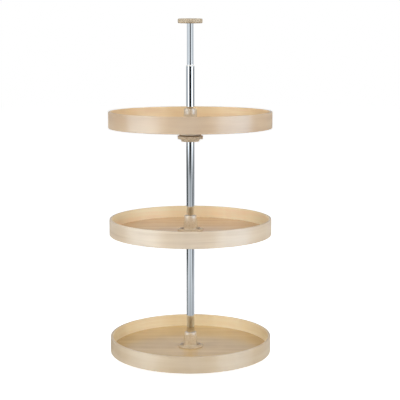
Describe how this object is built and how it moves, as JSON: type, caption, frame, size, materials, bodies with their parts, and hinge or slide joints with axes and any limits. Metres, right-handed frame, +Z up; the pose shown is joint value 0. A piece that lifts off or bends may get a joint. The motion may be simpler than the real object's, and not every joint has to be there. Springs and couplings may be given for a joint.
{
  "type": "rotating pantry shelf set",
  "caption": "Round rimmed wooden shelves that spin on, and slide up and down, a telescoping chrome post fitted between the floor and top of a tall pantry cabinet.",
  "frame": {"origin": "centre of the flat underside of the base plate, on the axis of the post", "axes": "+Z up along the post; +X to the right and -Y towards the viewer of the front"},
  "size_m": [0.508, 0.508, 1.1014],
  "materials": {
    "rim_wood": "satin lacquered bent maple, grain round the rim",
    "floor_wood": "satin lacquered ply face, straight grain",
    "tan_plastic": "moulded almond plastic, fine satin",
    "chrome": "polished",
    "nylon": "natural nylon",
    "screw_steel": "dark zinc"
  },
  "bodies": {
    "post": {"base_plate": "tan_plastic", "lower_post_tube": "chrome", "post_guide_bush": "nylon"},
    "upper_post": {"upper_post_tube": "chrome", "top_plate": "tan_plastic", "lock_cam_core": "nylon"},
    "lock_cam": {"lock_cam_ring": "nylon"},
    "bottom_carrier": {"bottom_carrier": "tan_plastic", "bottom_thrust_washer": "nylon", "bottom_collet": "nylon"},
    "bottom_lock_nut": {"bottom_lock_nut": "tan_plastic"},
    "bottom_shelf": {"bottom_shelf_rim": "rim_wood", "bottom_shelf_floor": "floor_wood", "bottom_hub_boss": "tan_plastic", "bottom_hub_underflange": "tan_plastic", "bottom_hub_bush": "nylon", "bottom_hub_screw_right": "screw_steel", "bottom_hub_screw_left": "screw_steel"},
    "middle_carrier": {"middle_carrier": "tan_plastic", "middle_thrust_washer": "nylon", "middle_collet": "nylon"},
    "middle_lock_nut": {"middle_lock_nut": "tan_plastic"},
    "middle_shelf": {"middle_shelf_rim": "rim_wood", "middle_shelf_floor": "floor_wood", "middle_hub_boss": "tan_plastic", "middle_hub_underflange": "tan_plastic", "middle_hub_bush": "nylon", "middle_hub_screw_right": "screw_steel", "middle_hub_screw_left": "screw_steel"},
    "top_carrier": {"top_carrier": "tan_plastic", "top_thrust_washer": "nylon", "top_collet": "nylon"},
    "top_lock_nut": {"top_lock_nut": "tan_plastic"},
    "top_shelf": {"top_shelf_rim": "rim_wood", "top_shelf_floor": "floor_wood", "top_hub_boss": "tan_plastic", "top_hub_underflange": "tan_plastic", "top_hub_bush": "nylon", "top_hub_screw_right": "screw_steel", "top_hub_screw_left": "screw_steel"}
  },
  "joints": [
    {"name": "post_telescope", "type": "slide", "parent": "post", "child": "upper_post", "axis": [0, 0, 1], "range_m": [-0.11, 0.15]},
    {"name": "lock_cam_twist", "type": "hinge", "parent": "upper_post", "child": "lock_cam", "pos_m": [0.0008, 0, 0.69], "axis": [0, 0, 1], "range_deg": [-75, 0]},
    {"name": "bottom_shelf_height", "type": "slide", "parent": "post", "child": "bottom_carrier", "axis": [0, 0, 1], "range_m": [0, 0.1]},
    {"name": "bottom_lock_nut_turn", "type": "hinge", "parent": "bottom_carrier", "child": "bottom_lock_nut", "pos_m": [0, 0, 0.024], "axis": [0, 0, 1], "range_deg": [0, 90]},
    {"name": "bottom_shelf_spin", "type": "hinge", "parent": "bottom_carrier", "child": "bottom_shelf", "pos_m": [0, 0, 0.068], "axis": [0, 0, 1], "continuous": true},
    {"name": "middle_shelf_height", "type": "slide", "parent": "post", "child": "middle_carrier", "axis": [0, 0, 1], "range_m": [-0.1, 0.1]},
    {"name": "middle_lock_nut_turn", "type": "hinge", "parent": "middle_carrier", "child": "middle_lock_nut", "pos_m": [0, 0, 0.4], "axis": [0, 0, 1], "range_deg": [0, 90]},
    {"name": "middle_shelf_spin", "type": "hinge", "parent": "middle_carrier", "child": "middle_shelf", "pos_m": [0, 0, 0.444], "axis": [0, 0, 1], "continuous": true},
    {"name": "top_shelf_height", "type": "slide", "parent": "post", "child": "top_carrier", "axis": [0, 0, 1], "range_m": [-0.1, 0.1]},
    {"name": "top_lock_nut_turn", "type": "hinge", "parent": "top_carrier", "child": "top_lock_nut", "pos_m": [0, 0, 0.734], "axis": [0, 0, 1], "range_deg": [0, 90]},
    {"name": "top_shelf_spin", "type": "hinge", "parent": "top_carrier", "child": "top_shelf", "pos_m": [0, 0, 0.778], "axis": [0, 0, 1], "continuous": true}
  ]
}
